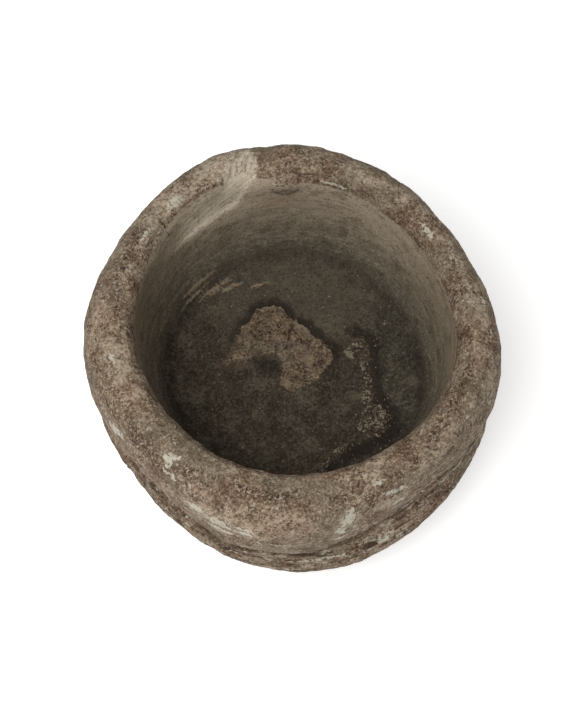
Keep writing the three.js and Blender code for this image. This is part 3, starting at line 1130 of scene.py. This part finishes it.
def cake_material(look):
    """Dry flaked residue: brown and grey, pale where it broke and with painted highlights along its upper
    edges and ridges, dark in its pits.
    """
    material = bpy.data.materials.new("residue")
    s = Surface(material)
    place = s.place
    patchy = s.noise(place, 6 * MM, 4.0, 0.65)
    fine = s.noise(place, 1.8 * MM, 2.0, 0.7)
    stops = [(0.40, look.soil), (0.48, look.cake), (0.54, look.cake), (0.62, look.cake_edge)]
    base = s.ramp(0.4 * patchy + 0.6 * fine, stops)
    ashy = s.noise(place, 13 * MM, 2.0).rise(0.46, 0.60)
    base = s.mix(ashy * 0.45, base, look.ash)
    # pale broken edges with a painted highlight along the upper edges and ridges
    base = s.mix(s.zone("edge") * fine.rise(0.38, 0.55) * 0.8, base, look.cake_edge)
    base = s.mix(s.zone("pit").rise(0.2, 0.8) * 0.7, base, look.soil)
    specks = s.noise(place, 1.6 * MM, 1.0).rise(0.40, 0.32)
    base = s.mix(specks * 0.45, base, look.soil)
    cloudy = s.noise(place, 8 * MM, 4.0, 0.7)
    base = s.mix(cloudy.rise(0.48, 0.38) * 0.6, base, look.soil)
    base = s.mix(cloudy.rise(0.53, 0.64) * 0.5, base, look.cake_edge)
    faded = (s.zone("thin") + 2.4 * (patchy - 0.5)).rise(0.20, 0.7)
    base = s.mix(faded * 0.8, base, look.crust)
    s.finish(base, 0.95, 0.6 * fine + 0.4 * patchy - 0.6 * specks, 0.7 * MM)
    return material


def crust_material(look):
    """Dark crust with pale grains caught in it."""
    material = bpy.data.materials.new("crust")
    s = Surface(material)
    place = s.place
    patchy = s.noise(place, 5 * MM, 3.0, 0.65)
    fine = s.noise(place, 1.5 * MM, 2.0, 0.7)
    stops = [(0.40, look.soil), (0.52, look.crust), (0.66, look.ash)]
    base = s.ramp(0.4 * patchy + 0.6 * fine, stops)
    clump = s.noise(place, 7 * MM, 2.0)
    nugget = (0.30 * s.zone("nugget") + fine + 0.9 * (clump - 0.5)).rise(0.60, 0.74)
    base = s.mix(nugget * 0.85, base, look.grain)
    s.finish(base, 0.95, 0.6 * fine + 0.4 * patchy, 0.7 * MM)
    return material


def grain_material(look):
    """The loose grains, from dark to pale."""
    material = bpy.data.materials.new("loose_grain")
    s = Surface(material)
    fine = s.noise(s.place, 2.5 * MM, 2.0, 0.7)
    base = s.ramp(fine, [(0.36, look.crust), (0.5, look.grain), (0.62, look.grain_light)])
    s.finish(base, 0.9, fine, 0.3 * MM)
    return material


def scatter_tree(material):
    """Scatters small rough grains over the faces it is given, at random sizes and turns."""
    inputs = {
        "Per square metre": "NodeSocketFloat",
        "Smallest": "NodeSocketFloat",
        "Largest": "NodeSocketFloat",
        "Seed": "NodeSocketInt",
    }
    scatter = Shaping("scattering", inputs)
    given = scatter.inputs
    density = scatter.zone("crowding") * given["Per square metre"]
    spots = scatter.node(
        "GeometryNodeDistributePointsOnFaces",
        {"distribute_method": "RANDOM"},
        {"Mesh": given["Geometry"], "Density": density, "Seed": given["Seed"]},
    )
    grain = scatter.node("GeometryNodeMeshIcoSphere", {}, {"Radius": 1.0, "Subdivisions": 1})
    turn = scatter.node(
        "FunctionNodeRandomValue", {"data_type": "FLOAT_VECTOR"},
        {"Min": (0.0, 0.0, 0.0), "Max": (math.tau,) * 3, "Seed": given["Seed"]},
    )
    girth = scatter.node(
        "FunctionNodeRandomValue", {"data_type": "FLOAT_VECTOR"},
        {"Min": (0.55,) * 3, "Max": (1.0, 1.0, 0.9), "Seed": given["Seed"]},
    )
    size_of = scatter.node(
        "FunctionNodeRandomValue", {"data_type": "FLOAT"},
        {2: given["Smallest"], 3: given["Largest"], "Seed": given["Seed"]}, output=1,
    )
    grown = scatter.scaled(girth, size_of)
    placed = scatter.node(
        "GeometryNodeInstanceOnPoints", {},
        {"Points": spots, "Instance": grain, "Rotation": turn, "Scale": grown},
    )
    scatter.finish(placed, material)
    return scatter


def floor_patch(stone):
    """The visible floor of the bowl as an open sheet, with how thickly loose grains lie on it."""
    mesh = stone.data
    points, normals = points_of(mesh), normals_of(mesh)
    plan = points[:, :2] - axis
    flat = (np.linalg.norm(plan, axis=1) < GRAIN_REACH) & (normals[:, 2] > FLAT_ENOUGH)
    flat &= (points[:, 2] > UNDER_FLOOR) & (points[:, 2] < crest - GRAIN_DROP)
    faces = [tuple(p.vertices) for p in mesh.polygons if all(flat[v] for v in p.vertices)]
    sheet = bpy.data.meshes.new("floor_patch")
    sheet.from_pydata(points.tolist(), [], faces)
    by_line = nearest_along(plan, np.array(SOIL_AND_SHADOW_LINE) * MM)[0]
    by_crust = np.minimum(*(nearest_along(plan, np.array(line) * MM)[0] for line in (STRING, TRAIL)))
    in_clod = signed_gap(plan, np.array(CLOD) * MM)
    on_soil = 0.10 + 0.35 * (1 - smooth_rise(by_line, 2 * MM, 14 * MM))
    on_crust = 1.3 * (1 - smooth_rise(by_crust, 1 * MM, 7 * MM)) + smooth_rise(in_clod, -6 * MM, 2 * MM)
    set_zone(sheet, "crowding", on_soil + on_crust)
    return sheet


class MOLCAJETE_OT_residue(bpy.types.Operator):
    """Lay the hardened residue and its loose grains on the floor of the bowl"""

    bl_idname = "molcajete.residue"
    bl_label = "Lay the residue"

    def execute(self, context):
        look = context.scene.molcajete_residue
        shades = Shades(look)
        stone = bpy.data.objects["hewn_stone"]
        ground = BVHTree.FromObject(stone, bpy.context.evaluated_depsgraph_get())
        cake = cake_material(shades)
        crust = crust_material(shades)
        lay = [
            ("flaked_cake", "residue_cake", cake_rise(look), cake, "residue"),
            ("dark_flake", "crust_wedge", wedge_rise, crust, "crust"),
            ("crust_line", "crust_string", heap_rise(1.2, 2.2, 31, line=STRING, reach=3.4), crust, "crust"),
            ("crust_heap", "crust_clod", heap_rise(2.2, 3.0, 41, outline=CLOD), crust, "crust"),
            ("crust_tail", "crust_trail", heap_rise(1.0, 1.8, 51, line=TRAIL, reach=2.2), crust, "crust"),
        ]
        for name, node, rise_of, material, slot in lay:
            piece = deposit(name, node, ground, rise_of, look.cell, look.sunk, material)
        grains = new_piece("loose_grains", floor_patch(stone))
        sizes = {"Per square metre": look.grains, "Smallest": look.grain_small, "Largest": look.grain_large}
        scatter_tree(grain_material(shades)).apply(grains, {**sizes, "Seed": GRAIN_SEED})
        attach(grains, "root")
        return {"FINISHED"}


# ---- The stage -------------------------------------------------------------------------------------

LAMP_PLACE = (-0.45, -0.55, 1.50)
LAMP_AIM = (0.0, 0.0, 0.1)
LAMP_WIDTH = 1.0
LEFT_OF_RIM = 4.6 * MM  # how far the line of sight passes to the left of the middle of the rim
BELOW_RIM = 24.1 * MM  # and how far below it, as the camera sees them


class MOLCAJETE_OT_stage(bpy.types.Operator):
    """Set up the floor, the light and the camera"""

    bl_idname = "molcajete.stage"
    bl_label = "Set the stage"

    def execute(self, context):
        scene = context.scene
        look = scene.molcajete_stage
        self.lay_floor(look)
        self.hang_lights(scene, look)
        self.place_camera(scene, look)
        return {"FINISHED"}

    def lay_floor(self, look):
        work = bmesh.new()
        bmesh.ops.create_grid(work, x_segments=8, y_segments=8, size=6.0)
        mesh = bpy.data.meshes.new("backdrop")
        work.to_mesh(mesh)
        work.free()
        material = bpy.data.materials.new("backdrop")
        s = Surface(material)
        faint = s.noise(s.place, 0.4, 2.0)
        base = s.mix(faint, tuple(look.backdrop), tuple(0.985 * c for c in look.backdrop))
        s.finish(base, 0.9, faint, 0.01 * MM, look.glow)
        mesh.materials.append(material)
        new_piece("backdrop", mesh)

    def hang_lights(self, scene, look):
        scene.view_settings.view_transform = "Standard"
        world = bpy.data.worlds.new("studio")
        scene.world = world
        world.use_nodes = True
        sky = Graph(world.node_tree)
        seen = sky.node("ShaderNodeLightPath", output="Is Camera Ray")
        strength = seen * (1.0 - look.fill) + look.fill
        white = sky.node("ShaderNodeBackground", {}, {"Color": (1.0,) * 4, "Strength": strength})
        sky.node("ShaderNodeOutputWorld", {}, {"Surface": white})
        key = bpy.data.lights.new("key", "AREA")
        key.shape, key.size, key.energy = "DISK", LAMP_WIDTH, look.key
        lamp = bpy.data.objects.new("key", key)
        scene.collection.objects.link(lamp)
        lamp.location = LAMP_PLACE
        aim = Vector(LAMP_AIM) - lamp.location
        lamp.rotation_euler = aim.to_track_quat("-Z", "Y").to_euler()

    def place_camera(self, scene, look):
        camera = bpy.data.cameras.new("camera")
        camera.lens = look.lens
        eye = bpy.data.objects.new("camera", camera)
        scene.collection.objects.link(eye)
        rim = Vector((axis[0], axis[1], crest))
        tilt = look.elevation
        eye.location = rim + look.distance * Vector((0.0, -math.cos(tilt), math.sin(tilt)))
        across, up = Vector((1.0, 0.0, 0.0)), Vector((0.0, math.sin(tilt), math.cos(tilt)))
        target = rim - LEFT_OF_RIM * across - BELOW_RIM * up
        eye.rotation_euler = (target - eye.location).to_track_quat("-Z", "Y").to_euler()
        scene.camera = eye


# ---- The sidebar panel and the add-on --------------------------------------------------------------

STEPS = ("stone", "residue", "stage")


class MOLCAJETE_PT_panel(bpy.types.Panel):
    """The steps of the finish, in order"""

    bl_idname = "MOLCAJETE_PT_panel"
    bl_label = "Molcajete"
    bl_space_type = "VIEW_3D"
    bl_region_type = "UI"
    bl_category = "Molcajete"

    def draw(self, context):
        for step in STEPS:
            self.layout.operator("molcajete." + step)


SETTINGS = {
    "molcajete_stone": StoneSettings,
    "molcajete_residue": ResidueSettings,
    "molcajete_stage": StageSettings,
}
CLASSES = (
    *SETTINGS.values(),
    MOLCAJETE_OT_stone,
    MOLCAJETE_OT_residue,
    MOLCAJETE_OT_stage,
    MOLCAJETE_PT_panel,
)


def register():
    for cls in CLASSES:
        bpy.utils.register_class(cls)
    for name, group in SETTINGS.items():
        setattr(bpy.types.Scene, name, PointerProperty(type=group))


def unregister():
    for name in SETTINGS:
        delattr(bpy.types.Scene, name)
    for cls in reversed(CLASSES):
        bpy.utils.unregister_class(cls)


def main():
    register()
    for step in STEPS:
        getattr(bpy.ops.molcajete, step)()


if __name__ == "__main__":
    main()
